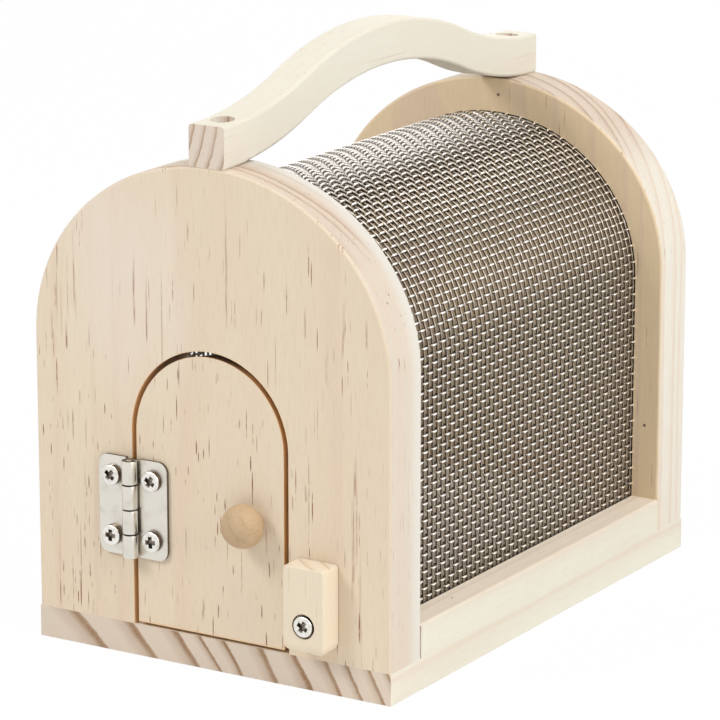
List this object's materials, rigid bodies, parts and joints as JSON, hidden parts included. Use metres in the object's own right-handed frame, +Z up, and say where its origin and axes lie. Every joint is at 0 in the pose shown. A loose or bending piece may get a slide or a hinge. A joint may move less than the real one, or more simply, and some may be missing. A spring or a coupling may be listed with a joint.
{
  "type": "insect cage",
  "caption": "Small pine insect cage with arched end panels, a bent woven wire hood, a hinged arched door with knob and turn button, and a wavy carrying handle.",
  "frame": {"origin": "middle of the base board's flat underside, where the cage stands", "axes": "+Z up, the door's panel faces -Y, +X to the right seen from the front, long side along Y"},
  "size_m": [0.102, 0.1592, 0.1488],
  "materials": {
    "pine": "satin",
    "turned_wood": "satin",
    "steel_wire": "satin",
    "nickel_steel": "gloss",
    "zinc_steel": "satin"
  },
  "bodies": {
    "cage": {"base_board": "pine", "front_panel": "pine", "back_panel": "pine", "door_stop": "pine", "wire_mesh": "steel_wire", "handle": "pine", "handle_screws": "zinc_steel", "panel_screws": "zinc_steel", "hinge_frame_leaf": "nickel_steel", "hinge_pin": "nickel_steel", "hinge_frame_screws": "nickel_steel", "turn_button_screw": "nickel_steel"},
    "door": {"door": "pine", "door_knob": "turned_wood", "knob_screw": "zinc_steel", "hinge_door_leaf": "nickel_steel", "hinge_door_screws": "nickel_steel"},
    "turn_button": {"turn_button": "pine"}
  },
  "joints": [
    {"name": "door_hinge", "type": "hinge", "parent": "cage", "child": "door", "pos_m": [-0.02185, -0.0772, 0.038], "axis": [0, 0, -1], "range_deg": [0, 160]},
    {"name": "button_pivot", "type": "hinge", "parent": "cage", "child": "turn_button", "pos_m": [0.0307, -0.0784, 0.0182], "axis": [0, 1, 0], "range_deg": [-90, 90]}
  ]
}
